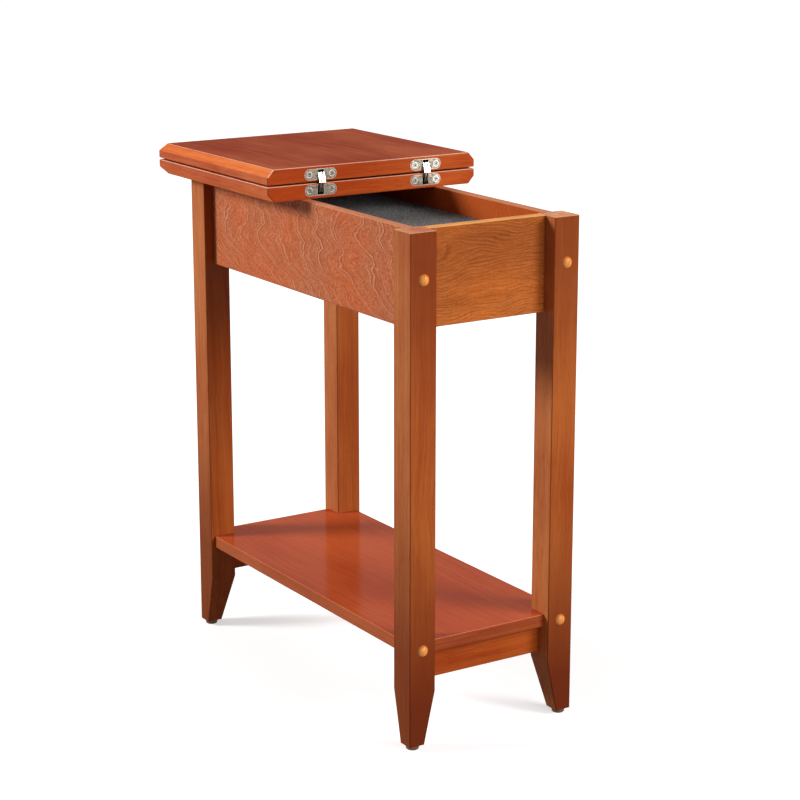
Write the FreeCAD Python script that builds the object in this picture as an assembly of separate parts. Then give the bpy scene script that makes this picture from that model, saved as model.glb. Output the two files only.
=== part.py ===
import FreeCAD, Part
import math
import os

# Flip-top chairside table. Millimetres, X to the right, Y to the back, Z up from the floor.
# The pieces are laid out about the hinge line of the top (Y = 0) and moved to the frame's origin on export.

# Top: two equal leaves, the front one folded back onto the fixed rear one
table_height = 610.0
top_width = 286.0
leaf_depth = 277.5
leaf_thickness = 18.0
leaf_edge_gap = 0.5
fold_gap = 2.0
bevel_width = 8.0
bevel_height = 9.0
leaf_corner_radius = 1.5

# Legs and foot glides
leg_span_x = 224.0
leg_span_y = 506.0
leg_size = 34.0
leg_corner_radius = 1.5
foot_size = 20.0
taper_top = 68.0
glide_radius = 7.5
glide_height = 6.0
glide_edge_radius = 2.0
glide_nail_radius = 1.25
glide_nail_length = 14.0

# Storage box
apron_height = 110.0
apron_thickness = 13.0
side_apron_recess = 13.0
end_apron_recess = 18.0
box_depth = 25.5
floor_thickness = 5.0
floor_groove_depth = 5.0
liner_thickness = 1.5

# Shelf and the rails under its ends
shelf_top = 126.0
shelf_thickness = 15.0
shelf_side_recess = 5.5
shelf_end_recess = 8.0
rail_height = 34.0
rail_thickness = 15.0
rail_recess = 18.0

# Bolts through the legs, under domed cover plugs
apron_bolt_drop = 52.5
bolt_radius = 2.0
bolt_head_radius = 4.0
bolt_head_height = 3.5
bolt_grip = 32.0
plug_radius = 7.0
plug_rise = 4.0
plug_tenon_radius = 5.0
plug_tenon_length = 6.0

# Dowels between the legs and the end aprons and rails, and between the side aprons and the fixed leaf
dowel_radius = 3.0
dowel_length = 26.0
dowel_chamfer = 0.6
apron_dowel_inset = 15.0
rail_dowel_spacing = 18.0
leaf_dowel_start = 60.0
leaf_dowel_spacing = 120.0

# Concealed hinges
hinge_spacing = 145.0
pivot_depth = 4.4
pivot_setback = 3.0
elbow_reach = 3.0
pin_radius = 0.75
eye_radius = 1.4
elbow_radius = 1.4
bend_offset = 4.9
bend_radius = 1.1
tail_length = 6.0
tail_radius = 1.2
tail_angle = 65.0
finger_thickness = 1.5
finger_gap = 0.15
finger_count = 5
web_radius = 1.0
web_to_elbow = 0.5
web_to_tail = 0.4
pocket_depth = 14.0
cup_side_wall = 2.3
cup_wall = 0.7
cup_back_wall = 1.5
plate_length = 42.5
plate_lip = 0.2
plate_thickness = 2.5
hinge_screw_spacing = 30.0
hinge_screw_radius = 1.6
hinge_screw_head_radius = 3.7
hinge_screw_head_height = 2.0
hinge_screw_grip = 14.0

# Eased edges, clearances and small cuts
edge_round = 1.0
round_share = 0.7
fit_clearance = 0.02
running_clearance = 0.05
seat_clearance = 0.15
swing_clearance = 0.3
panel_clearance = 0.2
cross_slot_width = 1.3
cross_slot_depth = 1.4
cross_slot_share = 0.5

# Places that follow from the sizes above
AXIS_X = FreeCAD.Vector(1, 0, 0)
AXIS_Y = FreeCAD.Vector(0, 1, 0)
AXIS_Z = FreeCAD.Vector(0, 0, 1)
SIDES = {"left": -1, "right": 1}
ENDS = {"front": -1, "rear": 1}

leg_outer_x = leg_span_x / 2
leg_outer_y = leg_span_y / 2
leg_inner_x = leg_outer_x - leg_size
leg_inner_y = leg_outer_y - leg_size
leg_top = table_height - leaf_thickness

apron_bottom = leg_top - apron_height
side_apron_outer = leg_outer_x - side_apron_recess
side_apron_inner = side_apron_outer - apron_thickness
end_apron_outer = leg_outer_y - end_apron_recess
end_apron_inner = end_apron_outer - apron_thickness
liner_top = leg_top - box_depth
floor_top = liner_top - liner_thickness
floor_bottom = floor_top - floor_thickness

shelf_bottom = shelf_top - shelf_thickness
shelf_outer_x = leg_outer_x - shelf_side_recess
shelf_outer_y = leg_outer_y - shelf_end_recess
rail_outer = leg_outer_y - rail_recess
rail_inner = rail_outer - rail_thickness
rail_bottom = shelf_bottom - rail_height

bolt_x = leg_outer_x - leg_size / 2
bolt_levels = {"apron": leg_top - apron_bolt_drop, "shelf": shelf_top - shelf_thickness / 2}
counterbore_depth = plug_tenon_length + bolt_head_height

leaf_front = leaf_edge_gap / 2
leaf_rear = leaf_front + leaf_depth
fold_plane = table_height + fold_gap / 2

# Hinge geometry in the plane across the hinge line: the elbow stands in front of the folded leaves
pivot = FreeCAD.Vector(0, pivot_setback, table_height - pivot_depth)
elbow = FreeCAD.Vector(0, -elbow_reach, fold_plane)
bend = FreeCAD.Vector(0, pivot.y - bend_offset, pivot.z)
tail = pivot + FreeCAD.Vector(
    0,
    -tail_length * math.cos(math.radians(tail_angle)),
    -tail_length * math.sin(math.radians(tail_angle)),
)
link_length = (elbow - pivot).Length
closed_drop = math.sqrt(link_length**2 - pivot_setback**2)
open_angle = math.degrees(math.atan2(elbow.z - pivot.z, pivot.y - elbow.y))
closed_angle = math.degrees(math.atan2(-closed_drop, pivot_setback))
link_swing = open_angle - closed_angle
link_ratio = link_swing / 180

finger_pitch = finger_thickness + finger_gap
stack_width = finger_count * finger_pitch - finger_gap
pocket_width = stack_width + 2 * swing_clearance
pocket_top = pivot.z + eye_radius + swing_clearance
sweep_radius = link_length + elbow_radius + swing_clearance
pocket_bottom = pivot.z - math.sqrt(sweep_radius**2 - (pivot_setback - leaf_front) ** 2)
cup_width = pocket_width + 2 * cup_side_wall
cup_top = pocket_top + cup_wall
cup_bottom = pocket_bottom - cup_wall
cup_back = leaf_front + pocket_depth + cup_back_wall
plate_height = cup_top - cup_bottom + 2 * plate_lip
plate_middle = (cup_top + cup_bottom) / 2
hinge_x = {side: sign * hinge_spacing / 2 for side, sign in SIDES.items()}

# The frame's origin lies under the middle of the table as it stands folded open
front_reach = leg_outer_y + plug_rise
origin_y = (leaf_rear - front_reach) / 2


def block(x0, x1, y0, y1, z0, z1):
    """A box between two corners, whichever way round they are given."""
    low = FreeCAD.Vector(min(x0, x1), min(y0, y1), min(z0, z1))
    return Part.makeBox(abs(x1 - x0), abs(y1 - y0), abs(z1 - z0), low)


def rod(radius, start, direction, length):
    return Part.makeCylinder(radius, length, start, direction)


def turned(outline, start, direction):
    """A solid turned from (radius, height) points; a list of two points is an arc through the first."""
    edges = []
    here = FreeCAD.Vector(outline[0][0], 0, outline[0][1])
    for entry in outline[1:]:
        points = entry if isinstance(entry, list) else [entry]
        points = [FreeCAD.Vector(radius, 0, height) for radius, height in points]
        if len(points) == 2:
            edges.append(Part.Arc(here, *points).toShape())
        else:
            edges.append(Part.makeLine(here, *points))
        here = points[-1]
    face = Part.Face(Part.Wire(edges))
    solid = face.revolve(FreeCAD.Vector(), AXIS_Z, 360)
    turn = FreeCAD.Rotation(AXIS_Z, direction)
    solid.Placement = FreeCAD.Placement(start, turn)
    return solid


def rounded_outline(x0, x1, y0, y1, z, radius):
    """A closed rectangle with round corners at height z."""
    quarter = radius * (1 - math.sqrt(0.5))
    corners = [
        ((x0, y0 + radius), (x0 + quarter, y0 + quarter), (x0 + radius, y0)),
        ((x1 - radius, y0), (x1 - quarter, y0 + quarter), (x1, y0 + radius)),
        ((x1, y1 - radius), (x1 - quarter, y1 - quarter), (x1 - radius, y1)),
        ((x0 + radius, y1), (x0 + quarter, y1 - quarter), (x0, y1 - radius)),
    ]
    arcs = [[FreeCAD.Vector(x, y, z) for x, y in corner] for corner in corners]
    edges = []
    for arc, following in zip(arcs, arcs[1:] + arcs[:1]):
        edges.append(Part.Arc(*arc).toShape())
        edges.append(Part.makeLine(arc[2], following[0]))
    return Part.Wire(edges)


def eased(shape, edges, wall):
    """Rounds edges over, as far as a wall or corner of the given size leaves room."""
    return shape.makeFillet(min(edge_round, round_share * wall), edges)


def edges_along(shape, axis, keep):
    """Straight edges parallel to an axis whose middle passes the test."""
    found = []
    for edge in shape.Edges:
        if edge.Curve.TypeId != "Part::GeomLine":
            continue
        along = edge.Vertexes[-1].Point - edge.Vertexes[0].Point
        middle = (edge.Vertexes[-1].Point + edge.Vertexes[0].Point) / 2
        if along.cross(axis).Length < 1e-6 and keep(middle):
            found.append(edge)
    return found


def level_edges(shape, z):
    """The rim of a flat face at height z."""
    return [e for e in shape.Edges if abs(e.BoundBox.ZMin - z) < 1e-6 and abs(e.BoundBox.ZMax - z) < 1e-6]


def capsule(start, start_radius, end, end_radius, x, thickness):
    """A flat bar across X with two round ends of their own radii."""
    run = end - start
    heading = math.atan2(run.z, run.y)
    lean = math.acos((start_radius - end_radius) / run.Length)
    corners = []
    for centre, radius, side in (
        (start, start_radius, 1),
        (end, end_radius, 1),
        (end, end_radius, -1),
        (start, start_radius, -1),
    ):
        angle = heading + side * lean
        corners.append(centre + FreeCAD.Vector(0, radius * math.cos(angle), radius * math.sin(angle)))
    return [
        prism(corners, x, thickness),
        disc(start, start_radius, x, thickness),
        disc(end, end_radius, x, thickness),
    ]


def prism(points, x, thickness):
    """A plate across X, centred on x, from points in the plane across the hinge line."""
    outline = Part.makePolygon(points + points[:1])
    plate = Part.Face(outline).extrude(AXIS_X * thickness)
    plate.translate(AXIS_X * (x - thickness / 2))
    return plate


def disc(centre, radius, x, thickness):
    return rod(radius, centre + AXIS_X * (x - thickness / 2), AXIS_X, thickness)


def folded(shape):
    """The same piece on the flip leaf, mirrored across the fold."""
    return shape.mirror(FreeCAD.Vector(0, 0, fold_plane), AXIS_Z)


def group(solids):
    return Part.makeCompound(solids)


def screw(start, direction, radius, head_radius, head_height, length):
    """A countersunk cross-head screw, its head's flat face at start and its shank along direction."""
    body = turned(
        [
            (0, 0),
            (head_radius, 0),
            (radius, head_height),
            (radius, length - radius),
            (0, length),
            (0, 0),
        ],
        FreeCAD.Vector(),
        AXIS_Z,
    )
    reach = head_radius * cross_slot_share
    half = cross_slot_width / 2
    slots = [
        block(-reach, reach, -half, half, 0, cross_slot_depth),
        block(-half, half, -reach, reach, 0, cross_slot_depth),
    ]
    body = body.cut(slots)
    body.Placement = FreeCAD.Placement(start, FreeCAD.Rotation(AXIS_Z, direction))
    return body


def screw_hole(start, direction, radius, head_radius, head_height, length):
    """The countersunk hole that a screw fills, a fit's clearance wider."""
    wide = head_radius + fit_clearance
    narrow = radius + fit_clearance
    return turned(
        [(0, 0), (wide, 0), (narrow, head_height), (narrow, length), (0, length), (0, 0)],
        start,
        direction,
    )


# Legs, glides and what joins them
def leg_bolt_places():
    """Every bolt through a leg: its level, its place on the leg's outer end face and the way it points."""
    for level, z in bolt_levels.items():
        for end in ENDS.values():
            for side in SIDES.values():
                face = FreeCAD.Vector(side * bolt_x, end * leg_outer_y, z)
                yield level, side, end, face, AXIS_Y * -end


def bolt_length():
    return leg_size - plug_tenon_length + bolt_grip


def leg_bolt(face, inward):
    seat = face + inward * plug_tenon_length
    head = rod(bolt_head_radius, seat, inward, bolt_head_height)
    shank = rod(bolt_radius, seat, inward, bolt_length())
    return head.fuse(shank).removeSplitter()


def bolt_hole(face, inward):
    wide = rod(plug_tenon_radius + fit_clearance, face, inward, counterbore_depth)
    narrow = rod(bolt_radius + fit_clearance, face, inward, plug_tenon_length + bolt_length())
    return wide.fuse(narrow)


def cover_plug(face, inward):
    """A domed wooden plug: a tenon in the leg and a button on its face."""
    crown = (plug_radius**2 + plug_rise**2) / (2 * plug_rise)
    lean = math.asin(plug_radius / crown) / 2
    shoulder = (crown * math.sin(lean), plug_rise - crown * (1 - math.cos(lean)))
    outline = [
        (0, -plug_tenon_length),
        (plug_tenon_radius, -plug_tenon_length),
        (plug_tenon_radius, 0),
        (plug_radius, 0),
        [shoulder, (0, plug_rise)],
        (0, -plug_tenon_length),
    ]
    return turned(outline, face, inward * -1)


def bolt_places(level):
    return [(face, inward) for name, _, _, face, inward in leg_bolt_places() if name == level]


def dowel_places(outer, inner, levels):
    """Dowels across the joints between the legs' inner sides and a board that runs between the legs."""
    for end in ENDS.values():
        for side in SIDES.values():
            for z in levels:
                y = end * (outer + inner) / 2
                yield side, end, FreeCAD.Vector(side * leg_inner_x, y, z)


def apron_dowel_places():
    levels = [apron_bottom + apron_dowel_inset, leg_top - apron_dowel_inset]
    return list(dowel_places(end_apron_outer, end_apron_inner, levels))


def rail_dowel_places():
    middle = (shelf_bottom + rail_bottom) / 2
    levels = [middle - rail_dowel_spacing / 2, middle + rail_dowel_spacing / 2]
    return list(dowel_places(rail_outer, rail_inner, levels))


def leaf_dowel_places(side):
    """Upright dowels in a side apron's top edge, under the fixed leaf."""
    x = side * (side_apron_outer + side_apron_inner) / 2
    stations = (leaf_dowel_start, leaf_dowel_start + leaf_dowel_spacing)
    return [FreeCAD.Vector(x, y, leg_top) for y in stations]


def dowel(joint, axis=AXIS_X):
    """A peg along an axis, half on each side of its joint."""
    peg = rod(dowel_radius, joint - axis * (dowel_length / 2), axis, dowel_length)
    rims = [edge for edge in peg.Edges if edge.Curve.TypeId == "Part::GeomCircle"]
    return peg.makeChamfer(dowel_chamfer, rims)


def dowel_hole(joint, axis=AXIS_X):
    return rod(dowel_radius + fit_clearance, joint - axis * (dowel_length / 2), axis, dowel_length)


def foot_middle(side, end):
    return FreeCAD.Vector(
        side * (leg_outer_x - foot_size / 2),
        end * (leg_outer_y - foot_size / 2),
        glide_height,
    )


def leg(side, end):
    """A square leg, tapered on its two inner faces, with holes for its bolts, dowels and glide."""
    def section(z, size):
        xs = sorted((side * leg_outer_x, side * (leg_outer_x - size)))
        ys = sorted((end * leg_outer_y, end * (leg_outer_y - size)))
        return rounded_outline(*xs, *ys, z, leg_corner_radius)

    outlines = [section(glide_height, foot_size), section(taper_top, leg_size), section(leg_top, leg_size)]
    post = Part.makeLoft(outlines, True, True).removeSplitter()
    post = eased(post, level_edges(post, leg_top), leg_corner_radius)
    holes = [bolt_hole(face, way) for _, s, e, face, way in leg_bolt_places() if (s, e) == (side, end)]
    joints = apron_dowel_places() + rail_dowel_places()
    holes += [dowel_hole(joint) for s, e, joint in joints if (s, e) == (side, end)]
    nail_hole = glide_nail_length + fit_clearance
    holes.append(rod(glide_nail_radius + fit_clearance, foot_middle(side, end), AXIS_Z, nail_hole))
    return post.cut(holes)


def foot_glide(side, end):
    """A nail-on glide: a button with a round lower rim and a nail up into the foot."""
    inset = glide_edge_radius * (1 - math.sqrt(0.5))
    outline = [
        (0, 0),
        (glide_radius - glide_edge_radius, 0),
        [(glide_radius - inset, inset), (glide_radius, glide_edge_radius)],
        (glide_radius, glide_height),
        (glide_nail_radius, glide_height),
        (glide_nail_radius, glide_height + glide_nail_length),
        (0, glide_height + glide_nail_length),
        (0, 0),
    ]
    middle = foot_middle(side, end)
    return turned(outline, FreeCAD.Vector(middle.x, middle.y, 0), AXIS_Z)


# Storage box
def floor_plan(end_reach, side_reach, clearance, z0, z1):
    """A panel that runs past the legs' corners into the end and side boards."""
    narrow = leg_inner_x - clearance
    long = end_reach - clearance
    wide = side_reach - clearance
    short = leg_inner_y - clearance
    long_part = block(-narrow, narrow, -long, long, z0, z1)
    wide_part = block(-wide, wide, -short, short, z0, z1)
    return long_part.fuse(wide_part).removeSplitter()


def box_floor():
    return floor_plan(
        end_apron_inner + floor_groove_depth,
        side_apron_inner + floor_groove_depth,
        panel_clearance,
        floor_bottom,
        floor_top,
    )


def floor_grooves():
    """The grooves that hold the box floor, cut in all four aprons."""
    return floor_plan(
        end_apron_inner + floor_groove_depth,
        side_apron_inner + floor_groove_depth,
        0,
        floor_bottom,
        floor_top + panel_clearance,
    )


def box_liner():
    return floor_plan(end_apron_inner, side_apron_inner, panel_clearance, floor_top, liner_top)


def side_apron(side):
    """A long wall of the box between the front and rear legs."""
    board = block(
        side * side_apron_outer, side * side_apron_inner, -leg_inner_y, leg_inner_y, apron_bottom, leg_top
    )
    board = eased(board, edges_along(board, AXIS_Y, lambda middle: True), apron_thickness / 2)
    holes = [bolt_hole(face, way) for face, way in bolt_places("apron") if face.x * side > 0]
    holes += [dowel_hole(joint, AXIS_Z) for joint in leaf_dowel_places(side)]
    return board.cut(holes + [floor_grooves()])


def end_apron(end):
    """A short wall of the box between the left and right legs."""
    board = block(
        -leg_inner_x, leg_inner_x, end * end_apron_outer, end * end_apron_inner, apron_bottom, leg_top
    )
    board = eased(board, edges_along(board, AXIS_X, lambda middle: True), apron_thickness / 2)
    holes = [dowel_hole(joint) for _, e, joint in apron_dowel_places() if e == end]
    return board.cut(holes + [floor_grooves()])


# Shelf and rails
def shelf():
    """One board, notched round the four legs."""
    levels = (shelf_bottom, shelf_top)
    board = block(-shelf_outer_x, shelf_outer_x, -shelf_outer_y, shelf_outer_y, *levels)
    for side in SIDES.values():
        for end in ENDS.values():
            xs = (side * leg_inner_x, side * leg_outer_x)
            ys = (end * leg_inner_y, end * leg_outer_y)
            board = board.cut(block(*xs, *ys, *levels))
    rims = edges_along(board, AXIS_X, lambda middle: abs(abs(middle.y) - shelf_outer_y) < 1e-6)
    rims += edges_along(board, AXIS_Y, lambda middle: abs(abs(middle.x) - shelf_outer_x) < 1e-6)
    board = eased(board, rims, shelf_thickness / 2)
    return board.cut([bolt_hole(face, way) for face, way in bolt_places("shelf")])


def shelf_rail(end):
    """A rail under the shelf's end, set back between two legs."""
    board = block(-leg_inner_x, leg_inner_x, end * rail_outer, end * rail_inner, rail_bottom, shelf_bottom)
    lower = edges_along(board, AXIS_X, lambda middle: middle.z < (rail_bottom + shelf_bottom) / 2)
    board = eased(board, lower, rail_thickness / 2)
    return board.cut([dowel_hole(joint) for _, e, joint in rail_dowel_places() if e == end])


# Hinges
def plate_outline(x, grow, y0, y1):
    """The oblong flange of a cup, grown all round for its recess."""
    radius = plate_height / 2
    straight = plate_length / 2 - radius
    middle = block(
        x - straight, x + straight, y0, y1, plate_middle - radius - grow, plate_middle + radius + grow
    )
    ends = [
        rod(radius + grow, FreeCAD.Vector(x + sign * straight, y0, plate_middle), AXIS_Y, y1 - y0)
        for sign in (-1, 1)
    ]
    return middle.fuse(ends).removeSplitter()


def hinge_screw_places(x):
    offsets = (-hinge_screw_spacing / 2, hinge_screw_spacing / 2)
    return [FreeCAD.Vector(x + offset, leaf_front, plate_middle) for offset in offsets]


def hinge_screw_sizes():
    length = plate_thickness + hinge_screw_grip
    return hinge_screw_radius, hinge_screw_head_radius, hinge_screw_head_height, length


def hinge_mortise(x):
    """What a cup and its screws take out of a leaf's hinge edge."""
    flange = plate_outline(x, fit_clearance, leaf_front - edge_round, leaf_front + plate_thickness)
    half = cup_width / 2 + fit_clearance
    levels = (cup_bottom - fit_clearance, cup_top + fit_clearance)
    body = block(x - half, x + half, leaf_front, cup_back, *levels)
    holes = [screw_hole(start, AXIS_Y, *hinge_screw_sizes()) for start in hinge_screw_places(x)]
    return [flange, body] + holes


def hinge_cup(x):
    """A cast cup: an oblong flange flush with the leaf's edge and a pocket for the links behind it."""
    flange = plate_outline(x, 0, leaf_front, leaf_front + plate_thickness)
    half = cup_width / 2
    body = block(x - half, x + half, leaf_front, cup_back, cup_bottom, cup_top)
    half = pocket_width / 2
    pocket = block(x - half, x + half, leaf_front, leaf_front + pocket_depth, pocket_bottom, pocket_top)
    cuts = [pocket, disc(pivot, pin_radius + fit_clearance, x, cup_width)]
    cuts += [screw_hole(start, AXIS_Y, *hinge_screw_sizes()) for start in hinge_screw_places(x)]
    return flange.fuse(body).removeSplitter().cut(cuts)


def hinge_pin(x):
    return disc(pivot, pin_radius, x, cup_width)


def centre_pin(x):
    return disc(elbow, pin_radius, x, stack_width)


def hinge_screws(x):
    return [screw(start, AXIS_Y, *hinge_screw_sizes()) for start in hinge_screw_places(x)]


def finger(x, elbow_hole_clearance):
    """One link plate: an eye on the pivot pin, a bend round the leaf's edge to the elbow, and a tail."""
    ends = [
        (pivot, eye_radius, bend, bend_radius),
        (bend, bend_radius, elbow, elbow_radius),
        (tail, tail_radius, bend, bend_radius),
        (tail, tail_radius, pivot, eye_radius),
    ]
    pieces = [prism([pivot, bend, tail], x, finger_thickness)]
    for end in ends:
        pieces += capsule(*end, x, finger_thickness)
    plate = pieces[0].fuse(pieces[1:]).removeSplitter()
    holes = [
        disc(pivot, pin_radius + running_clearance, x, finger_thickness),
        disc(elbow, pin_radius + elbow_hole_clearance, x, finger_thickness),
    ]
    return plate.cut(holes)


def finger_places(x, first):
    """Every second place across the link pack."""
    start = x - stack_width / 2 + finger_thickness / 2
    return [start + finger_pitch * place for place in range(first, finger_count, 2)]


def lower_links(x):
    return group([finger(place, fit_clearance) for place in finger_places(x, 1)])


def link_web(x):
    """The outer wall that joins the flip leaf's link plates, short of their elbow and their tails."""
    low = bend + (elbow - bend) * web_to_elbow
    high = bend + (tail - bend) * web_to_tail
    width = stack_width - finger_thickness
    lower = capsule(low, web_radius, bend, web_radius, x, width)
    return lower + capsule(high, web_radius, bend, web_radius, x, width)


def upper_links(x):
    """The flip leaf's links in one piece: their elbow ends are open seats over the centre pin."""
    plates = [finger(place, seat_clearance) for place in finger_places(x, 0)]
    piece = folded(plates[0].fuse(plates[1:] + link_web(x)).removeSplitter())
    below = block(
        x - stack_width,
        x + stack_width,
        elbow.y - 2 * elbow_radius,
        pivot.y,
        fold_plane - 2 * elbow_radius,
        fold_plane,
    )
    return piece.cut(below)


# Leaves of the top
def leaf_board():
    """A leaf with its hinge edge at the front and an under-bevel on its three free edges."""
    half = top_width / 2

    def section(z, inset):
        return rounded_outline(
            inset - half, half - inset, leaf_front, leaf_rear - inset, z, leaf_corner_radius
        )

    outlines = [section(leg_top, bevel_width), section(leg_top + bevel_height, 0), section(table_height, 0)]
    board = Part.makeLoft(outlines, True, True).removeSplitter()
    rims = level_edges(board, table_height) + level_edges(board, leg_top)
    board = eased(board, rims, leaf_corner_radius)
    return board.cut([cut for x in hinge_x.values() for cut in hinge_mortise(x)])


def fixed_leaf():
    joints = [joint for side in SIDES.values() for joint in leaf_dowel_places(side)]
    return leaf_board().cut([dowel_hole(joint, AXIS_Z) for joint in joints])


def make_nodes():
    """Every piece by name, laid out about the hinge line."""
    nodes = {}
    for end_name, end in ENDS.items():
        for side_name, side in SIDES.items():
            nodes[f"leg_{end_name}_{side_name}"] = leg(side, end)
            nodes[f"foot_glide_{end_name}_{side_name}"] = foot_glide(side, end)
        nodes[f"{end_name}_apron"] = end_apron(end)
        nodes[f"shelf_rail_{end_name}"] = shelf_rail(end)
    for side_name, side in SIDES.items():
        x = hinge_x[side_name]
        nodes[f"side_apron_{side_name}"] = side_apron(side)
        nodes[f"hinge_fixed_cup_{side_name}"] = hinge_cup(x)
        nodes[f"hinge_flip_cup_{side_name}"] = folded(hinge_cup(x))
        nodes[f"hinge_lower_links_{side_name}"] = lower_links(x)
        nodes[f"hinge_upper_links_{side_name}"] = upper_links(x)
        nodes[f"hinge_fixed_pin_{side_name}"] = hinge_pin(x)
        nodes[f"hinge_flip_pin_{side_name}"] = folded(hinge_pin(x))
        nodes[f"hinge_centre_pin_{side_name}"] = centre_pin(x)
        nodes[f"hinge_fixed_screws_{side_name}"] = group(hinge_screws(x))
        nodes[f"hinge_flip_screws_{side_name}"] = folded(group(hinge_screws(x)))
    for level in bolt_levels:
        places = bolt_places(level)
        nodes[f"{level}_bolts"] = group([leg_bolt(*place) for place in places])
        nodes[f"{level}_bolt_plugs"] = group([cover_plug(*place) for place in places])
    nodes["apron_dowels"] = group([dowel(joint) for _, _, joint in apron_dowel_places()])
    nodes["rail_dowels"] = group([dowel(joint) for _, _, joint in rail_dowel_places()])
    leaf_joints = [joint for side in SIDES.values() for joint in leaf_dowel_places(side)]
    nodes["leaf_dowels"] = group([dowel(joint, AXIS_Z) for joint in leaf_joints])
    nodes["box_floor"] = box_floor()
    nodes["box_liner"] = box_liner()
    nodes["shelf"] = shelf()
    nodes["fixed_leaf"] = fixed_leaf()
    nodes["flip_leaf"] = folded(leaf_board())
    return nodes


def main():
    os.makedirs("parts", exist_ok=True)
    for name, shape in make_nodes().items():
        shape.translate(AXIS_Y * -origin_y)
        shape.exportStep(f"parts/{name}.step")
        state = "valid" if shape.isValid() else "INVALID"
        print(name, len(shape.Solids), "solids", round(shape.Volume), "mm3", state)
    print("links turn", round(link_swing, 4), "degrees as the leaf turns 180, ratio", round(link_ratio, 6))


main()
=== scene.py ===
import math

import bmesh
import bpy
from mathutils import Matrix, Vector, noise


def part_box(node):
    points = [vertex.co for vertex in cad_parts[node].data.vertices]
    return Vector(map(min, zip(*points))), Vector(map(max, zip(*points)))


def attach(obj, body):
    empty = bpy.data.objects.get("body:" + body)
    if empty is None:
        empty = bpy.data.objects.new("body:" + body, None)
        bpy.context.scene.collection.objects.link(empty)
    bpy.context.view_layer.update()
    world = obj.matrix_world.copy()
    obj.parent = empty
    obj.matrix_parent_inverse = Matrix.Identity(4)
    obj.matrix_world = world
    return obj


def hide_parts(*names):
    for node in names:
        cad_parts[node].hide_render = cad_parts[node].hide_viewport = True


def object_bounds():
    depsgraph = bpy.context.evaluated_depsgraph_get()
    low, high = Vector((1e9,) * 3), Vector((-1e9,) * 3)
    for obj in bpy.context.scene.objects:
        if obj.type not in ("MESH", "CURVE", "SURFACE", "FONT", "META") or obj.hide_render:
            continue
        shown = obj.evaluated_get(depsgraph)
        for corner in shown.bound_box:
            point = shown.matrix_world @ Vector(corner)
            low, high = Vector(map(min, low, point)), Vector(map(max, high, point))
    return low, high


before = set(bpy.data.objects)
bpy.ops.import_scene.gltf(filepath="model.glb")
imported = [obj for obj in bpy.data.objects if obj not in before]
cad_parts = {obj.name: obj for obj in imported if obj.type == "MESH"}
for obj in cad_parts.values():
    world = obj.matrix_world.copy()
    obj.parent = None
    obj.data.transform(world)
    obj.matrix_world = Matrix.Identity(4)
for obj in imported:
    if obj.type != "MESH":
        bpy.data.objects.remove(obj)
cad_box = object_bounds()

MILLIMETRE = 0.001
WHITE = (1, 1, 1, 1)

# Camera: from the front left and a little above, as far away as the photograph's perspective says
CAMERA_TARGET = Vector((0.0676, 0.0389, 0.320))
CAMERA_AZIMUTH = -32.51
CAMERA_ELEVATION = 14.39
CAMERA_DISTANCE = 2.708
CAMERA_LENS_MM = 97.92
CAMERA_SENSOR_MM = 36.0
CAMERA_REACH = 100.0

# Lamps: a level is how brightly one lights a surface that faces it, where 1 shows a colour as written
LAMPS = {
    "left_softbox": {"azimuth": -119, "elevation": 25, "level": 0.91, "size": 1.3},
    "front_softbox": {"azimuth": 6, "elevation": 9, "level": 0.26, "size": 1.4},
    "right_softbox": {"azimuth": 34, "elevation": 26, "level": 0.74, "size": 2.2},
}
LAMP_DISTANCE = 4.5
WORLD_LEVEL = 0.15

# Floor: its grey as seen and as it throws light back, and its glow near the table and far off
FLOOR_RADIUS = 45.0
FLOOR_SEGMENTS = 96
FLOOR_COLOUR = 0.78
FLOOR_BOUNCE = 0.34
FLOOR_GLOW = 0.56
FAR_FLOOR_GLOW = 0.90
FLOOR_FADE = (0.6, 3.0)
FLOOR_ROUGHNESS = 0.9

# Lining: its clearance from the legs, the distance between its points and the height of its nap
LINING_GAP = 0.2 * MILLIMETRE
LINING_CELL = 2.5 * MILLIMETRE
NAP_HEIGHT = 0.25 * MILLIMETRE

# In the groups below, a value for Graph.remap is a span and, where it isn't 0 to 1, the span it becomes

# Faces, by parts of their normals; the leaves' slanted faces look up or down by LEAF_SLOPE
FACING = (0.8, 0.9)
OFF_UPRIGHT = (0.3, 0.5)
OFF_LEVEL = (0.9, 0.75)
ROUNDED = (0.975, 0.93)
LEAF_SLOPE = 0.664
OFF_SLOPE = (0.01, 0.05)
SHARP_EDGE = (0.99, 0.88)
EDGE_SAMPLES = 6

# Noise: a soft and a clear change over its middle values, and the roughness of fine noise
SOFT = (0.3, 0.7)
CLEAR = (0.35, 0.65)
FINE = 0.65

# Darkening on legs and aprons, by height over the floor: where it begins and where it is deepest; on the
# legs' ends under the top it is painted shade
FOOT_DARKENING = (0.25, 0.05)
FOOT_DARKENING_LIFT_ON_SIDES = 0.06
FOOT_DARKENING_ON_SIDES = (0, 1, 1.0, 0.75)
HEAD_SHADE = (0.38, 0.54, 0.0, 0.55)
APRON_TOP_DARKENING = (0.49, 0.55)

# Lacquer: where a rounded edge looks up enough to get a painted highlight, or little enough to be
# darkened, which is painted shade where it looks down
HIGHLIGHT_RISE = (0.1, 0.35)
HIGHLIGHT_PATCHES = (*SOFT, 0.6, 1.0)
DARK_EDGE_RISE = (0.15, 0.0)
DARK_EDGE_SHARE = 0.5
GRAIN_DEPTH = 0.05 * MILLIMETRE
PORE_SINK = 0.6
FIBRE_SMOOTHER = 0.06
FIBRE_ROUGHER = 0.08
LACQUER_ROUGHNESS = 0.14

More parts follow.
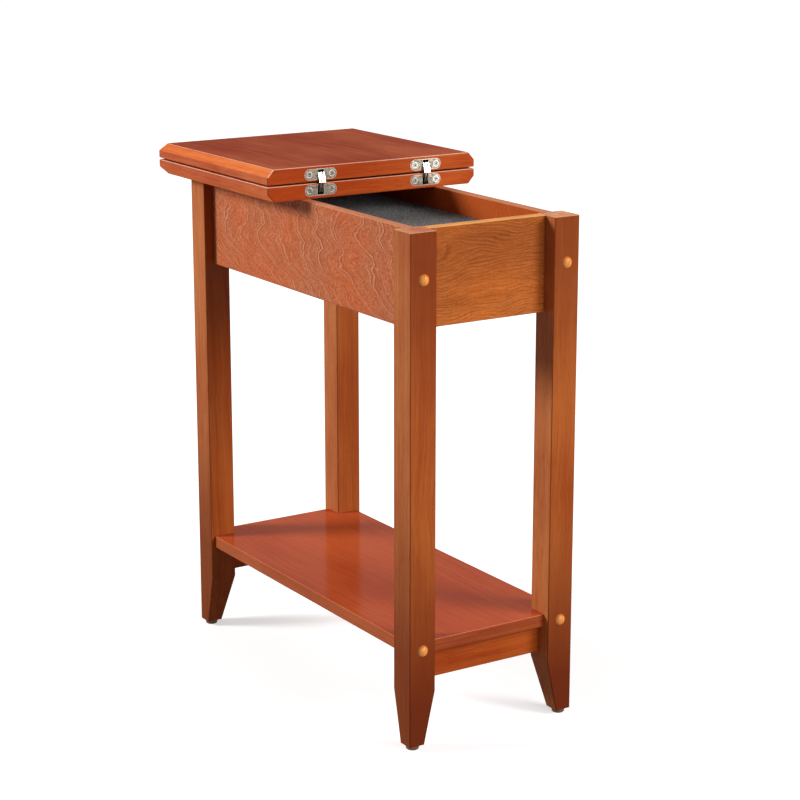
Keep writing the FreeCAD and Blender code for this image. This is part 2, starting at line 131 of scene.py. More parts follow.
# Solid wood: swells in a metre, twice across the grain and then along it, and each texture's share
WOOD_BEND = (5, 5, 7)
WOOD_BEND_WIDTH = 0.02
WOOD_STREAKS = (150, 150, 3)
WOOD_FIBRES = (520, 520, 14)
WOOD_CLOUDS = (9, 9, 5)
WOOD_PORES = (1500, 1500, 60)
WOOD_PORE_SPAN = (0.6, 0.72)
WOOD_PORE_SHARE = 0.3
STREAK_SHARE = 0.3
FIBRE_SHARE = 0.3
CLOUD_SHARE = 0.6
FIGURE = (0.5, 0.7)

# Veneer: swells in a metre across the sheet, along its grain and through it, and what each texture does
VENEER_CLOUDS = (13, 13, 13)
VENEER_BANDS = (48, 9, 48)
VENEER_PORES = (1300, 160, 1300)
WANDER_THROUGH = 3
VENEER_BLUSH = (0.42, 0.64)
VENEER_MOTTLE = (0.44, 0.68, 0, 0.34)
VENEER_FIBRES = (0.42, 0.66, 0, 0.36)
VENEER_BAND_SPAN = (0.46, 0.72)
ECHO_DETAIL = 4
ECHO_ROUGHNESS = 0.75
PALE_ECHO = (0.5, 0.7)
DARK_ECHO = (0.5, 0.3)
LINE_PATCHES = (0.35, 0.6, 1.0, 0.5)
LINE_SHARPNESS = 1.5
FIGURE_INSIDE = (0, 1, 0.12, 1)
VENEER_PORE_SPAN = (0.58, 0.7)
VENEER_PORE_SHARE = 0.35
VENEER_GLOSS = 0.05
VENEER_ROUGHNESS = 0.42

# Cover plugs
PLUG_FIBRES = (600, 600, 60)
PLUG_CROWN = (0.45, 0.82)
PLUG_ROUGHNESS = (*SOFT, 0.3, 0.4)
PLUG_RELIEF = 0.02 * MILLIMETRE
PLUG_GLOSS = 0.45
PLUG_GLOSS_ROUGHNESS = 0.1

# Metal: a painted highlight within RIM_WIDTH of a sharp edge
METAL_BRUSHING = (500, 2600, 2600)
METAL_CLOUDS = (330, 330, 330)
METAL_CLOUDING = (0.4, 0.68)
METAL_BRUSHED = (0.35, 0.75, 0, 0.35)
METAL_OPEN = (0.25, 0.75)
METAL_RELIEF = 0.01 * MILLIMETRE
POLISH_SMOOTHER = 0.08
POLISH_ROUGHER = 0.12
RIM_WIDTH = 0.9 * MILLIMETRE

# Plastic
PLASTIC_GRAIN = (1800, 1800, 1800)
PLASTIC_SCUFFS = (160, 160, 160)
PLASTIC_SCUFFED = (0.35, 0.7)
PLASTIC_ROUGHNESS = (*SOFT, 0.42, 0.62)
PLASTIC_RELIEF = 0.03 * MILLIMETRE

# Flock
FLOCK_FUZZ = (1600, 1600, 1600)
FLOCK_BRUSHING = (40, 40, 40)
FLOCK_SPECKS = (420, 420, 420)
FLOCK_SPECKED = (0.5, 0.68, 0, 0.8)
FLOCK_FINE = 0.7
FLOCK_ROUGHNESS = (*SOFT, 0.85, 1.0)
FLOCK_RELIEF = 0.4 * MILLIMETRE
FLOCK_SHINE = 0.1
FLOCK_SHEEN = 0.15
FLOCK_SHEEN_ROUGHNESS = 0.5


def tone(red, green, blue):
    """A screen colour, 0 to 255, as the linear colour that shaders take, by the sRGB curve."""
    def linear(value):
        share = value / 255
        return share / 12.92 if share <= 0.04045 else ((share + 0.055) / 1.055) ** 2.4

    return (linear(red), linear(green), linear(blue), 1.0)


def shade(red, green, blue, swing=0.12):
    """A dark, redder colour and a pale, browner one on both sides of a screen colour."""
    colour = tone(red, green, blue)[:3]
    powers = (1.0, 2.0, 2.2)
    dark = tuple(part * (1 - swing) ** power for part, power in zip(colour, powers))
    pale = tuple(min(part * (1 + swing) ** power, 1.0) for part, power in zip(colour, powers))
    return dark + (1.0,), pale + (1.0,)


class Graph:
    """A material's nodes, with short calls that add one and join it up."""

    def __init__(self, name):
        self.material = bpy.data.materials.new(name)
        self.material.use_nodes = True
        self.nodes = self.material.node_tree.nodes
        self.links = self.material.node_tree.links
        self.shader = self.nodes["Principled BSDF"]

    def join(self, value, socket):
        """Links another node's output to a socket, or sets the socket to a plain value."""
        if isinstance(value, bpy.types.NodeSocket):
            self.links.new(value, socket)
        else:
            socket.default_value = value

    def add(self, kind, *values, **settings):
        """A node with its own settings, whose first inputs take the values."""
        node = self.nodes.new("ShaderNode" + kind)
        for name, setting in settings.items():
            setattr(node, name, setting)
        for socket, value in zip(node.inputs, values):
            self.join(value, socket)
        return node

    def finish(self, **sockets):
        """Sets or links the shader's own sockets, named with underscores, and gives the material."""
        for name, value in sockets.items():
            self.join(value, self.shader.inputs[name.replace("_", " ")])
        return self.material

    def math(self, operation, *values):
        return self.add("Math", *values, operation=operation).outputs[0]

    def times(self, *values):
        """The product of all the values."""
        product = values[0]
        for value in values[1:]:
            product = self.math("MULTIPLY", product, value)
        return product

    def vector(self, operation, *values):
        return self.add("VectorMath", *values, operation=operation).outputs[0]

    def dot(self, first, second):
        return self.add("VectorMath", first, second, operation="DOT_PRODUCT").outputs["Value"]

    def split(self, vector):
        return self.add("SeparateXYZ", vector).outputs

    def combine(self, x, y, z):
        return self.add("CombineXYZ", x, y, z).outputs[0]

    def place(self):
        """Where a point lies on its piece, in metres, and which way the surface faces there."""
        where = self.add("TexCoord")
        return where.outputs["Object"], where.outputs["Normal"]

    def noise(self, vector, pace, detail=2.0, roughness=0.5):
        """Noise from 0 to 1, whose pace is its swells in a metre along each axis."""
        node = self.add("TexNoise", self.vector("MULTIPLY", vector, pace))
        self.join(1.0, node.inputs["Scale"])
        self.join(detail, node.inputs["Detail"])
        self.join(roughness, node.inputs["Roughness"])
        return node.outputs["Fac"]

    def swing(self, vector, pace, amount):
        """A smooth wander about 0."""
        return self.math("MULTIPLY", self.math("SUBTRACT", self.noise(vector, pace), 0.5), amount)

    def remap(self, value, low, high, to_low=0.0, to_high=1.0):
        """Turns the span from low to high into one from to_low to to_high, and holds it there beyond."""
        return self.add("MapRange", value, low, high, to_low, to_high).outputs[0]

    def mix(self, share, low, high, kind="RGBA"):
        """A blend of two colours or vectors, by the Mix node's own sockets for that kind."""
        first, out = {"RGBA": (6, 2), "VECTOR": (4, 1)}[kind]
        node = self.add("Mix", share, data_type=kind)
        self.join(low, node.inputs[first])
        self.join(high, node.inputs[first + 1])
        return node.outputs[out]

    def layers(self, colour, *tints):
        """Lays tints over a colour one after another, each given as its share and its own colour."""
        for share, tint in tints:
            colour = self.mix(share, colour, tint)
        return colour

    def bump(self, height, depth):
        """A surface normal from a height between 0 and 1 that stands for a depth in metres."""
        node = self.add("Bump")
        self.join(depth, node.inputs["Distance"])
        self.join(height, node.inputs["Height"])
        return node.outputs["Normal"]

    def rounds(self):
        """1 on rounded-over edges and 0 on flats and slopes, and how far up the surface looks."""
        facing = self.place()[1]
        x, y, z = self.split(self.vector("ABSOLUTE", facing))
        squareness = self.math("MAXIMUM", self.math("MAXIMUM", x, y), z)
        off_slope = self.math("ABSOLUTE", self.math("SUBTRACT", z, LEAF_SLOPE))
        edge = self.times(self.remap(squareness, *ROUNDED), self.remap(off_slope, *OFF_SLOPE))
        return edge, self.split(facing)[2]

    def rims(self, width):
        """1 along the piece's sharp edges and 0 on its flats."""
        rounded = self.add("Bevel", width, samples=EDGE_SAMPLES).outputs["Normal"]
        plain = self.add("NewGeometry").outputs["Normal"]
        return self.remap(self.dot(rounded, plain), *SHARP_EDGE)

    def openness(self, reach):
        """1 in the open and 0 deep in a recess narrower than the reach."""
        return self.add("AmbientOcclusion", WHITE, reach, samples=EDGE_SAMPLES).outputs["AO"]


def grain_place(graph, along, end_along=None):
    """A point's place with the grain's direction last; a board's end faces may run another way."""
    place, facing = graph.place()
    x, y, z = graph.split(place)
    orders = {"X": (y, z, x), "Y": (x, z, y), "Z": (x, y, z)}
    vector = graph.combine(*orders[along])
    if end_along:
        end = graph.math("GREATER_THAN", graph.math("ABSOLUTE", graph.split(facing)[1]), FACING[0])
        vector = graph.mix(end, vector, graph.combine(*orders[end_along]), "VECTOR")
    return vector


def cuts(graph):
    """How far a face looks along its piece's X, along its Y, slants, or looks up, each from 0 to 1."""
    x, y, z = graph.split(graph.place()[1])
    level = graph.math("ABSOLUTE", z)
    return {
        "side": graph.remap(graph.math("ABSOLUTE", x), *FACING),
        "end": graph.remap(graph.math("ABSOLUTE", y), *FACING),
        "slope": graph.times(graph.remap(level, *OFF_UPRIGHT), graph.remap(level, *OFF_LEVEL)),
        "top": graph.remap(z, *FACING),
    }


def outward(graph):
    """1 on faces that look away from the middle of the table, 0 on those that look towards it."""
    place, facing = graph.place()
    return graph.math("GREATER_THAN", graph.dot(graph.vector("MULTIPLY", place, (1, 1, 0)), facing), 0.0)


def darkening(graph, colour, deep):
    """Darker on the outward faces near the floor, and painted shade on the ends under the top.

    On the side faces the darkening near the floor reaches higher but is thinner.
    """
    height = graph.split(graph.place()[0])[2]
    cut = cuts(graph)
    drop = graph.math("MULTIPLY_ADD", cut["side"], -FOOT_DARKENING_LIFT_ON_SIDES, height)
    thinner = graph.remap(cut["side"], *FOOT_DARKENING_ON_SIDES)
    foot = graph.times(graph.remap(drop, *FOOT_DARKENING), thinner, outward(graph))
    # Painted shade: the front and back faces darker under the top
    painted_head_shade = graph.times(cut["end"], graph.remap(height, *HEAD_SHADE))
    return graph.mix(graph.math("MAXIMUM", foot, painted_head_shade), colour, deep)


def lacquered(graph, colour, texture, pale, dark, gloss, roughness):
    """A painted highlight in the pale colour on rounded edges that look up, and the dark colour on those
    that look sideways or down, painted shade where they look down; under a satin lacquer.
    """
    clouds, fibres, pores = texture
    edge, rise = graph.rounds()
    # Painted highlight: the pale colour in patches on rounded edges that look up
    painted_highlight = graph.times(edge, graph.remap(rise, *HIGHLIGHT_RISE), graph.remap(clouds, *HIGHLIGHT_PATCHES))
    # Darker rounded edges that look sideways or down: painted shade where they look down
    stain_and_edge_shade = graph.times(edge, graph.remap(rise, *DARK_EDGE_RISE), DARK_EDGE_SHARE)
    return graph.finish(
        Base_Color=graph.layers(colour, (stain_and_edge_shade, dark), (painted_highlight, pale)),
        Roughness=graph.remap(fibres, *SOFT, roughness - FIBRE_SMOOTHER, roughness + FIBRE_ROUGHER),
        Normal=graph.bump(graph.math("MULTIPLY_ADD", pores, -PORE_SINK, fibres), GRAIN_DEPTH),
        Specular_IOR_Level=0.0,
        Coat_Weight=gloss,
        Coat_Roughness=LACQUER_ROUGHNESS,
    )


def stained_wood(
    name, shades, along, end_along=None, pale=None, dark=None, foot=None, gloss=0.06, roughness=0.4
):
    """Plain-grained solid wood under a stain, with a shade for each way a face looks, partly painted
    light and shade.
    """
    graph = Graph(name)
    # pale is the painted highlight's colour on edges that look up; dark is the pores' colour and the
    # darker edges', painted shade where they look down
    pale = pale or shades["flat"][1]
    dark = dark or shades["flat"][0]
    straight = grain_place(graph, along, end_along)
    bend = graph.combine(graph.swing(straight, WOOD_BEND, WOOD_BEND_WIDTH), 0, 0)
    place = graph.vector("ADD", straight, bend)
    streaks = graph.noise(place, WOOD_STREAKS, 5, FINE)
    fibres = graph.noise(place, WOOD_FIBRES, 3, FINE)
    clouds = graph.noise(place, WOOD_CLOUDS, 3)
    pores = graph.remap(graph.noise(place, WOOD_PORES, 1), *WOOD_PORE_SPAN)
    figure = graph.math("MULTIPLY_ADD", streaks, STREAK_SHARE, graph.times(fibres, FIBRE_SHARE))
    figure = graph.remap(graph.math("MULTIPLY_ADD", clouds, CLOUD_SHARE, figure), *FIGURE)
    colour = graph.mix(figure, *shades["flat"])
    # Each way a face looks has its own shade: partly the real end grain on ends and tops, partly painted
    # light and shade, lit and shaded copies of one stain for faces the light falls on differently
    for cut, share in cuts(graph).items():
        if cut in shades:
            colour = graph.mix(share, colour, graph.mix(figure, *shades[cut]))
    # Darker near the floor, and painted shade on the ends under the top
    if foot:
        colour = darkening(graph, colour, foot)
    colour = graph.mix(graph.times(pores, WOOD_PORE_SHARE), colour, dark)
    return lacquered(graph, colour, (clouds, fibres, pores), pale, dark, gloss, roughness)


def ring_count(graph, across, run, sheet, rings):
    """Growth rings counted across a sheet, whose lines lean below a height and wander as they run."""
    lean_from, lean = rings["lean"]
    below = graph.math("MAXIMUM", graph.math("SUBTRACT", lean_from, run), 0.0)
    leaning = graph.times(below, below, lean)
    count = graph.times(graph.math("ADD", across, leaning), 1 / rings["spacing"])
    for across_pace, run_pace, amount in rings["wander"]:
        bend = graph.swing(sheet, (across_pace, run_pace, WANDER_THROUGH), amount)
        count = graph.math("ADD", count, bend)
    return count


def ring_lines(graph, colour, count, share, rings, pale, dark):
    """Each ring's lines over a colour: a pale one, with a dark one before it."""
    ring = graph.math("FRACT", count)
    for start, weight in rings["lines"]:
        line = graph.math("FRACT", graph.math("SUBTRACT", ring, start))
        bright = graph.math("POWER", graph.remap(line, rings["width"], 0.0), LINE_SHARPNESS)
        deep = graph.remap(line, 1 - rings["width"], 1.0)
        colour = graph.layers(
            colour,
            (graph.times(deep, share, weight * rings["deep"]), dark),
            (graph.times(bright, share, weight * rings["bright"]), pale),
        )
    return colour


def veneer(name, along, rings, ground, blush, pale, dark, rim, inside):
    """Sliced veneer: growth rings cut into wandering lines, with finer lines that follow them."""
    graph = Graph(name)
    x, y, z = graph.split(graph.place()[0])
    across, run, through = {"Z": (y, z, x), "X": (z, x, y)}[along]
    sheet = graph.combine(across, run, through)
    count = ring_count(graph, across, run, sheet, rings)
    beside = graph.combine(count, run, through)
    echoes = graph.noise(beside, rings["echoes"], ECHO_DETAIL, ECHO_ROUGHNESS)
    fibres = graph.noise(sheet, rings["fibres"], 3, FINE)
    mottle = graph.noise(sheet, rings["mottle"])
    clouds = graph.noise(sheet, VENEER_CLOUDS, 3)
    bands = graph.noise(sheet, VENEER_BANDS, 3)
    pores = graph.remap(graph.noise(sheet, VENEER_PORES, 1), *VENEER_PORE_SPAN)
    shown = outward(graph)
    figured = graph.remap(shown, *FIGURE_INSIDE)
    stain_and_edge_shade = graph.mix(graph.remap(clouds, *VENEER_BLUSH), ground, blush)
    colour = graph.layers(
        graph.mix(graph.remap(fibres, *CLEAR), *inside),
        (shown, stain_and_edge_shade),
        (graph.times(graph.remap(mottle, *VENEER_MOTTLE), figured), pale),
        (graph.remap(fibres, *VENEER_FIBRES), dark),
        (graph.remap(bands, *VENEER_BAND_SPAN, 0, rings["bands"]), dark),
        (graph.times(shown, graph.remap(z, *APRON_TOP_DARKENING, 0, rings["darkening"])), dark),
        (graph.times(graph.remap(echoes, *PALE_ECHO, 0, rings["echo"]), figured), pale),
        (graph.times(graph.remap(echoes, *DARK_ECHO, 0, rings["echo"]), figured), dark),
    )
    patchy = graph.times(graph.remap(clouds, *LINE_PATCHES), figured)
    colour = graph.layers(
        ring_lines(graph, colour, count, patchy, rings, pale, dark),
        (graph.times(pores, VENEER_PORE_SHARE), dark),
        (cuts(graph)["top"], graph.mix(graph.remap(fibres, *CLEAR), *rim)),
    )
    texture = (clouds, fibres, pores)
    # The rim's pale colour is the painted highlight on edges that look up
    return lacquered(graph, colour, texture, rim[1], dark, VENEER_GLOSS, VENEER_ROUGHNESS)


def turned_plug(name, honey, amber, rim):
    """A glossy lacquered dome, with painted shade in the rim colour where it drops to the leg."""
    graph = Graph(name)
    place, facing = graph.place()
    fibres = graph.noise(place, PLUG_FIBRES, 3, FINE)
    crown = graph.math("ABSOLUTE", graph.split(facing)[1])
    colour = graph.mix(graph.remap(fibres, *CLEAR), amber, honey)
    return graph.finish(
        # Painted shade: the rim colour where the dome slopes down to the leg
        Base_Color=graph.mix(graph.remap(crown, *PLUG_CROWN), rim, colour),
        Roughness=graph.remap(fibres, *PLUG_ROUGHNESS),
        Normal=graph.bump(fibres, PLUG_RELIEF),
        Specular_IOR_Level=0.0,
        Coat_Weight=PLUG_GLOSS,
        Coat_Roughness=PLUG_GLOSS_ROUGHNESS,
    )


def metal(name, colour, shadow, roughness, rim=None, recess=None):
    """Plated metal, faintly brushed and clouded; a painted highlight along its rims and painted shade
    deep in its recesses.
    """
    graph = Graph(name)
    place = graph.place()[0]
    brushed = graph.noise(place, METAL_BRUSHING)
    clouds = graph.noise(place, METAL_CLOUDS, 3)
    base = graph.mix(graph.remap(clouds, *METAL_CLOUDING), colour, shadow)
    base = graph.mix(graph.remap(brushed, *METAL_BRUSHED), base, shadow)
    # Painted highlight along the sharp edges
    if rim:
        base = graph.mix(graph.rims(RIM_WIDTH), base, rim)
    if recess:
        # Painted shade: near black deep in recesses
        recess_shade = tone(20, 17, 14)
        base = graph.mix(graph.remap(graph.openness(recess), *METAL_OPEN), recess_shade, base)
    return graph.finish(
        Base_Color=base,
        Metallic=1.0,
        Roughness=graph.remap(clouds, *SOFT, roughness - POLISH_SMOOTHER, roughness + POLISH_ROUGHER),
        Normal=graph.bump(brushed, METAL_RELIEF),
    )


def moulded_plastic(name, colour, scuff):
    """Dull plastic with a fine grain, scuffed in places."""
    graph = Graph(name)
    place = graph.place()[0]
    grain = graph.noise(place, PLASTIC_GRAIN)
    scuffs = graph.noise(place, PLASTIC_SCUFFS, 3)
    return graph.finish(
        Base_Color=graph.mix(graph.remap(scuffs, *PLASTIC_SCUFFED), colour, scuff),
        Roughness=graph.remap(scuffs, *PLASTIC_ROUGHNESS),
        Normal=graph.bump(grain, PLASTIC_RELIEF),
    )


def flock(name, nap, ground, fleck):
    """Short dense nap with paler fibres in it."""
    graph = Graph(name)
    place = graph.place()[0]
    fuzz = graph.noise(place, FLOCK_FUZZ, roughness=FLOCK_FINE)
    brushed = graph.noise(place, FLOCK_BRUSHING, 3)
    specks = graph.noise(place, FLOCK_SPECKS, 3, FLOCK_FINE)
    colour = graph.mix(graph.remap(brushed, *CLEAR), ground, nap)
    return graph.finish(
        Base_Color=graph.mix(graph.remap(specks, *FLOCK_SPECKED), colour, fleck),
        Roughness=graph.remap(fuzz, *FLOCK_ROUGHNESS),
        Specular_IOR_Level=FLOCK_SHINE,
        Sheen_Weight=FLOCK_SHEEN,
        Sheen_Roughness=FLOCK_SHEEN_ROUGHNESS,
        Normal=graph.bump(fuzz, FLOCK_RELIEF),
    )


def assign(material, *stems):
    """Gives that material to the CAD nodes named by a stem, alone or with a place such as _front_left."""
    sides = ("_left", "_right")
    ends = ("_front", "_rear")
    places = ("", *sides, *ends, *(end + side for end in ends for side in sides))
    for stem in stems:
        for place in places:
            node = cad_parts.get(stem + place)
            if node:
                node.data.materials.clear()
                node.data.materials.append(material)


def dress_wood():
    """Stained solid wood, raw wood where it is hidden, and the plugs."""
    # deep is the pores' colour and the darker edges' colour, which is painted shade where they look down
    deep = tone(92, 36, 14)
    # The side, end, slope and top shades are partly painted light and shade: lit and shaded copies of one
    # stain, besides the real end grain
    leg = {
        "flat": shade(170, 90, 45),
        "side": shade(176, 99, 56, 0.16),
        "end": shade(162, 80, 35, 0.16),
        "top": shade(232, 156, 114, 0.26),
    }
    leaf = {
        "flat": shade(174, 78, 47, 0.2),
        "side": shade(186, 92, 57, 0.18),
        "end": shade(185, 82, 36, 0.2),
        "slope": shade(226, 116, 62, 0.15),
    }
    board = {
        "flat": shade(184, 78, 40, 0.1),
        "side": shade(171, 82, 41),
        "end": shade(156, 70, 31, 0.2),
    }
    rail = {"flat": shade(166, 73, 27, 0.2)}
    raw = {"flat": shade(208, 158, 102)}
    # Painted highlights: the pale colours on rounded edges that look up, here and for the rail below
    leg_highlight = tone(238, 176, 136)
    leaf_highlight = tone(250, 206, 180)
    shelf_highlight = tone(208, 120, 76)
    # foot is the colour both of the darkening near the floor and of the painted shade under the top
    leg_wood = stained_wood("leg_wood", leg, "Z", pale=leg_highlight, dark=deep, foot=tone(108, 42, 17))
    rail_wood = stained_wood("rail_wood", rail, "X", pale=tone(196, 112, 62), dark=deep)
    leaf_wood = stained_wood("leaf_wood", leaf, "Y", "X", pale=leaf_highlight, dark=deep, gloss=0.04)
    shelf_wood = stained_wood("shelf_wood", board, "Y", "X", pale=shelf_highlight, dark=deep, gloss=0.17)
    bare = {"gloss": 0.0, "roughness": 0.7}
    floor_wood = stained_wood("floor_wood", raw, "Y", **bare)
    dowel_wood = stained_wood("dowel_wood", raw, "X", **bare)
    upright_dowel_wood = stained_wood("upright_dowel_wood", raw, "Z", **bare)
    # The plug's rim colour is painted shade where the dome drops to the leg
    plug_wood = turned_plug(
        "plug_wood", honey=tone(238, 152, 64), amber=tone(218, 122, 40), rim=tone(120, 52, 16)
    )
    assign(leg_wood, "leg")
    assign(rail_wood, "shelf_rail")
    assign(leaf_wood, "fixed_leaf", "flip_leaf")
    assign(shelf_wood, "shelf")
    assign(floor_wood, "box_floor")
    assign(dowel_wood, "apron_dowels", "rail_dowels")
    assign(upright_dowel_wood, "leaf_dowels")
    assign(plug_wood, "apron_bolt_plugs", "shelf_bolt_plugs")


def dress_veneer():
    """Veneer on the aprons: wide upright rings on the sides, narrow level ones on the ends.

    Each ring has lines that start at a share of it, with their weights. A wander has its pace across and
    along the grain and its amount in rings. A lean has the height it begins at and its strength.
    """
    side_rings = {
        "spacing": 0.044,
        "lines": ((0.0, 1.0), (0.14, 0.55), (0.6, 0.4)),
        "width": 0.09,
        "bright": 0.95,
        "deep": 0.8,
        "lean": (0.55, 22.0),
        "wander": ((4, 7, 2.4), (4, 25, 2.5), (24, 60, 0.3), (100, 160, 0.1)),
        "echo": 0.3,
        "echoes": (9, 60, 60),
        "bands": 0.1,
        "darkening": 0.0,
        "fibres": (260, 380, 260),
        "mottle": (420, 620, 420),
    }
    end_rings = {
        "spacing": 0.0074,
        "lines": ((0.0, 1.0), (0.45, 0.7)),
        "width": 0.3,
        "bright": 0.2,
        "deep": 0.45,
        "lean": (0.0, 0.0),
        "wander": ((12, 7, 9.0), (70, 22, 0.6), (260, 70, 0.2)),
        "echo": 0.2,
        "echoes": (3, 25, 25),
        "bands": 0.45,
        "darkening": 0.4,
        "fibres": (480, 40, 480),
        "mottle": (600, 260, 600),
    }
    side = veneer(
        "side_veneer",
        "Z",
        side_rings,
        ground=tone(184, 100, 61),
        blush=tone(196, 94, 48),
        pale=tone(224, 160, 126),
        dark=tone(136, 62, 34),
        rim=shade(216, 138, 102, 0.1),
        inside=shade(196, 90, 36),
    )
    end = veneer(
        "end_veneer",
        "X",
        end_rings,
        ground=tone(190, 102, 44),
        blush=tone(206, 108, 42),
        pale=tone(216, 138, 76),
        dark=tone(116, 50, 18),
        rim=shade(246, 170, 100, 0.1),
        inside=shade(192, 92, 42),
    )
    assign(side, "side_apron")
    assign(end, "front_apron", "rear_apron")


def dress_metal():
    """The hinges and fasteners."""
    # In these metals a rim colour is a painted highlight along sharp edges, and a recess is how far
    # painted shade reaches into hollows
    nickel = metal(
        "nickel",
        colour=tone(176, 168, 152),
        shadow=tone(88, 78, 64),
        roughness=0.34,
        rim=tone(232, 226, 214),
        recess=4 * MILLIMETRE,
    )
    # The upper links get a brighter nickel than the other hinge parts: a painted highlight, since they
    # face up into the light
    bright = metal(
        "highlit_nickel",
        colour=tone(242, 240, 234),
        shadow=tone(214, 210, 200),
        roughness=0.3,
        recess=3 * MILLIMETRE,
    )
    dull = metal("dull_steel", colour=tone(220, 210, 192), shadow=tone(140, 128, 110), roughness=0.4)
    zinc = metal(
        "zinc",
        colour=tone(160, 154, 142),
        shadow=tone(104, 98, 88),
        roughness=0.3,
        rim=tone(255, 253, 248),
        recess=2 * MILLIMETRE,
    )
    assign(nickel, "hinge_fixed_cup", "hinge_flip_cup")
    assign(bright, "hinge_upper_links")
    assign(dull, "hinge_lower_links", "hinge_fixed_pin", "hinge_flip_pin", "hinge_centre_pin")
    assign(zinc, "hinge_fixed_screws", "hinge_flip_screws", "apron_bolts", "shelf_bolts")


def dress_plastic():
    """The glides under the feet."""
    brown = moulded_plastic("glide_plastic", colour=tone(96, 56, 30), scuff=tone(60, 34, 18))
    assign(brown, "foot_glide")


def put(name, data):
    """A new object in the scene, from its mesh, lamp or camera data."""
    obj = bpy.data.objects.new(name, data)
    bpy.context.scene.collection.objects.link(obj)
    return obj


def lining_mesh(low, high):
    """A thin sheet between two corners, with a nap on its upper side, cut round the legs' corners."""
    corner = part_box("leg_front_left")[1]
    notch_x = corner.x - low.x + LINING_GAP
    notch_y = corner.y - low.y + LINING_GAP

    def stations(start, end, notch):
        """Where the grid has points: at both ends, and evenly from notch to notch."""
        first, last = start + notch, end - notch
        count = round((last - first) / LINING_CELL)
        return [start] + [first + (last - first) * step / count for step in range(count + 1)] + [end]

    xs = stations(low.x, high.x, notch_x)
    ys = stations(low.y, high.y, notch_y)
    shape = bmesh.new()
    grid = {}
    for i, x in enumerate(xs):
        for j, y in enumerate(ys):
            rim = i in (0, len(xs) - 1) or j in (0, len(ys) - 1)
            nap = 0.0 if rim else NAP_HEIGHT * noise.noise(Vector((x, y, 0)) / LINING_CELL)
            grid[i, j] = shape.verts.new((x, y, high.z - NAP_HEIGHT + nap))
    for i in range(len(xs) - 1):
        for j in range(len(ys) - 1):
            cut_out = i in (0, len(xs) - 2) and j in (0, len(ys) - 2)
            if not cut_out:
                shape.faces.new((grid[i, j], grid[i + 1, j], grid[i + 1, j + 1], grid[i, j + 1]))
    loose = [vert for vert in shape.verts if not vert.link_faces]
    bmesh.ops.delete(shape, geom=loose, context="VERTS")
    underside = bmesh.ops.extrude_face_region(shape, geom=shape.faces[:])
    for element in underside["geom"]:
        if isinstance(element, bmesh.types.BMVert):
            element.co.z = low.z
    bmesh.ops.recalc_face_normals(shape, faces=shape.faces[:])
    mesh = bpy.data.meshes.new("lining_sheet")
    shape.to_mesh(mesh)
    shape.free()
    return mesh


def make_lining():
    """The box's flocked lining: one sheet on the box floor."""
    low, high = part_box("box_liner")
    mesh = lining_mesh(low, high)
    grey = flock("box_flock", nap=tone(70, 69, 68), ground=tone(40, 40, 41), fleck=tone(158, 156, 152))
    mesh.materials.append(grey)
    sheet = put("lining_sheet", mesh)
    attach(sheet, "table")
    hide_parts("box_liner")


def seen_directly(tree):
    """1 for rays from the camera and for those that a surface reflects or lets through, 0 for light."""
    path = tree.nodes.new("ShaderNodeLightPath")
    total = path.outputs["Is Camera Ray"]
    for name in ("Is Glossy Ray", "Is Transmission Ray"):
        either = tree.nodes.new("ShaderNodeMath")
        either.operation = "MAXIMUM"
        tree.links.new(total, either.inputs[0])
        tree.links.new(path.outputs[name], either.inputs[1])
        total = either.outputs[0]
    return total


def make_world():
    """White to the camera and in reflections, and a softer level as light."""
    world = bpy.data.worlds.new("studio")
    bpy.context.scene.world = world
    world.use_nodes = True
    tree = world.node_tree
    background = tree.nodes["Background"]
    background.inputs["Color"].default_value = WHITE
    level = tree.nodes.new("ShaderNodeMapRange")
    tree.links.new(seen_directly(tree), level.inputs["Value"])
    level.inputs["To Min"].default_value = WORLD_LEVEL
    tree.links.new(level.outputs[0], background.inputs["Strength"])


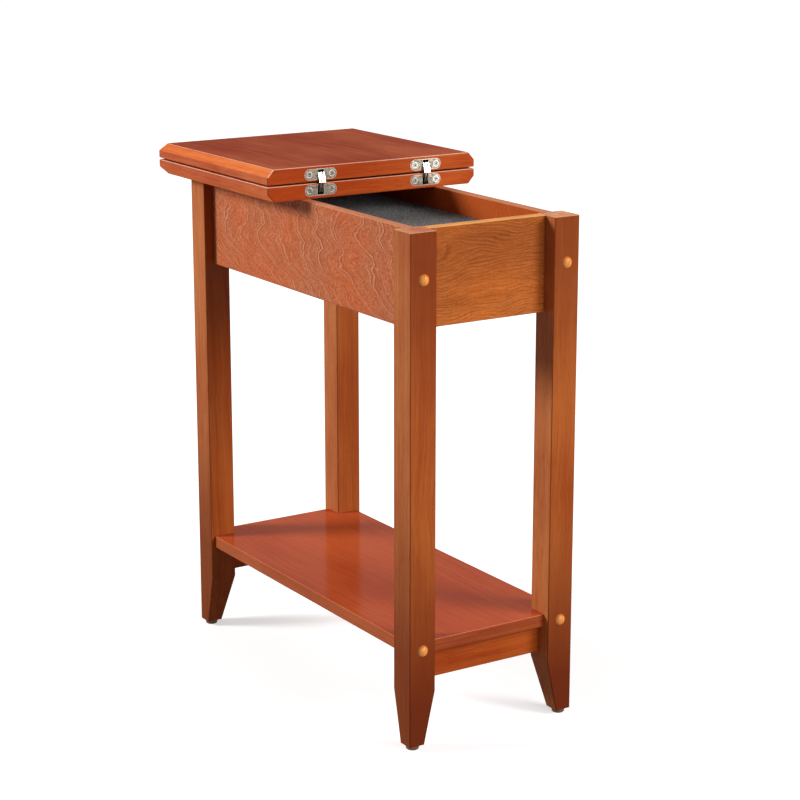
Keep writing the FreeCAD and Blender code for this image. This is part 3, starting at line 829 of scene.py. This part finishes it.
def make_floor():
    """A round pale floor that keeps the table's shadow, and glows more the farther off it is."""
    mesh = bpy.data.meshes.new("studio_floor")
    shape = bmesh.new()
    bmesh.ops.create_circle(shape, cap_ends=True, radius=FLOOR_RADIUS, segments=FLOOR_SEGMENTS)
    shape.to_mesh(mesh)
    shape.free()
    floor = put("studio_floor", mesh)
    graph = Graph("floor_white")
    seen = seen_directly(graph.material.node_tree)
    reach = graph.add("VectorMath", graph.place()[0], operation="LENGTH").outputs["Value"]
    glow = graph.remap(reach, *FLOOR_FADE, FLOOR_GLOW, FAR_FLOOR_GLOW)
    material = graph.finish(
        Base_Color=graph.mix(seen, (FLOOR_BOUNCE,) * 3 + (1,), (FLOOR_COLOUR,) * 3 + (1,)),
        Roughness=FLOOR_ROUGHNESS,
        Specular_IOR_Level=0.0,
        Emission_Color=WHITE,
        Emission_Strength=graph.times(seen, glow),
    )
    mesh.materials.append(material)


def direction(azimuth, elevation):
    """The way from the table to a point at that azimuth and elevation, in degrees."""
    turn, rise = math.radians(azimuth), math.radians(elevation)
    return Vector((math.sin(turn) * math.cos(rise), -math.cos(turn) * math.cos(rise), math.sin(rise)))


def aim(obj, target, way, distance):
    """Sets a lamp or camera that far off its target, along the way, and turns it to look back."""
    obj.location = target + way * distance
    obj.rotation_mode = "QUATERNION"
    obj.rotation_quaternion = (-way).to_track_quat("-Z", "Y")


def make_lamps():
    """Round softboxes aimed at the middle of the table, each with the power that gives its level."""
    middle = (cad_box[0] + cad_box[1]) / 2
    for name, lamp in LAMPS.items():
        data = bpy.data.lights.new(name, "AREA")
        data.shape = "DISK"
        data.size = lamp["size"]
        data.energy = lamp["level"] * (math.pi * LAMP_DISTANCE) ** 2
        aim(put(name, data), middle, direction(lamp["azimuth"], lamp["elevation"]), LAMP_DISTANCE)


def make_camera():
    """The photograph's view."""
    data = bpy.data.cameras.new("camera")
    data.lens = CAMERA_LENS_MM
    data.sensor_width = CAMERA_SENSOR_MM
    data.clip_end = CAMERA_REACH
    camera = put("camera", data)
    aim(camera, CAMERA_TARGET, direction(CAMERA_AZIMUTH, CAMERA_ELEVATION), CAMERA_DISTANCE)
    bpy.context.scene.camera = camera


dress_wood()
dress_veneer()
dress_metal()
dress_plastic()
make_lining()
make_world()
make_floor()
make_lamps()
make_camera()
bpy.context.scene.view_settings.view_transform = "Standard"
